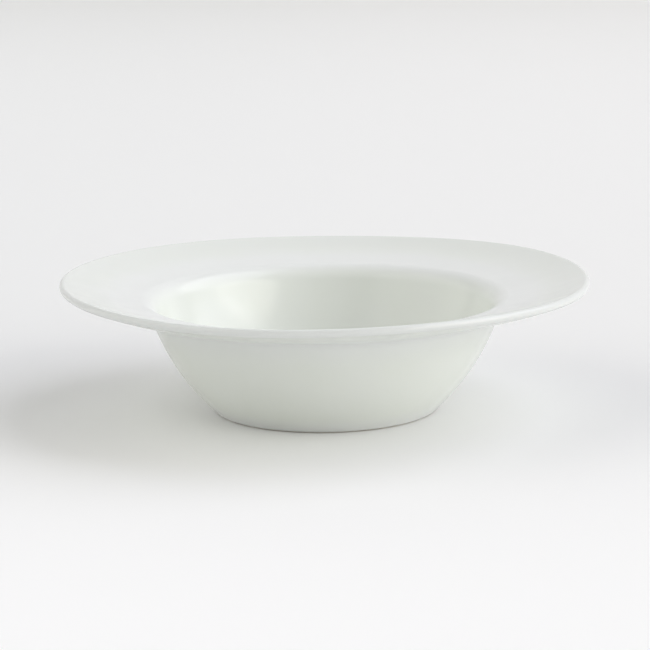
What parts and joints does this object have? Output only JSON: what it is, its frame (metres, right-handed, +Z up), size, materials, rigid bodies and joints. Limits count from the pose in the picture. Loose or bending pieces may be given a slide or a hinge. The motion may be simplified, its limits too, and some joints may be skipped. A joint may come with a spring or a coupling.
{
  "type": "pasta bowl",
  "caption": "Wide-rimmed ceramic pasta bowl: a rounded well under a broad, gently sloping rim, glazed white, standing on a low bare foot ring.",
  "frame": {"origin": "centre of the table plane that the foot ring stands on", "axes": "+Z up along the bowl's axis, towards the open well; the bowl is round, so X and Y are free"},
  "size_m": [0.3, 0.3, 0.0759],
  "materials": {
    "fired_body": "matte, unglazed",
    "white_glaze": "glossy"
  },
  "bodies": {
    "root": {"bowl_body": "fired_body", "glaze_coat": "white_glaze", "base_glaze": "white_glaze"}
  },
  "joints": []
}
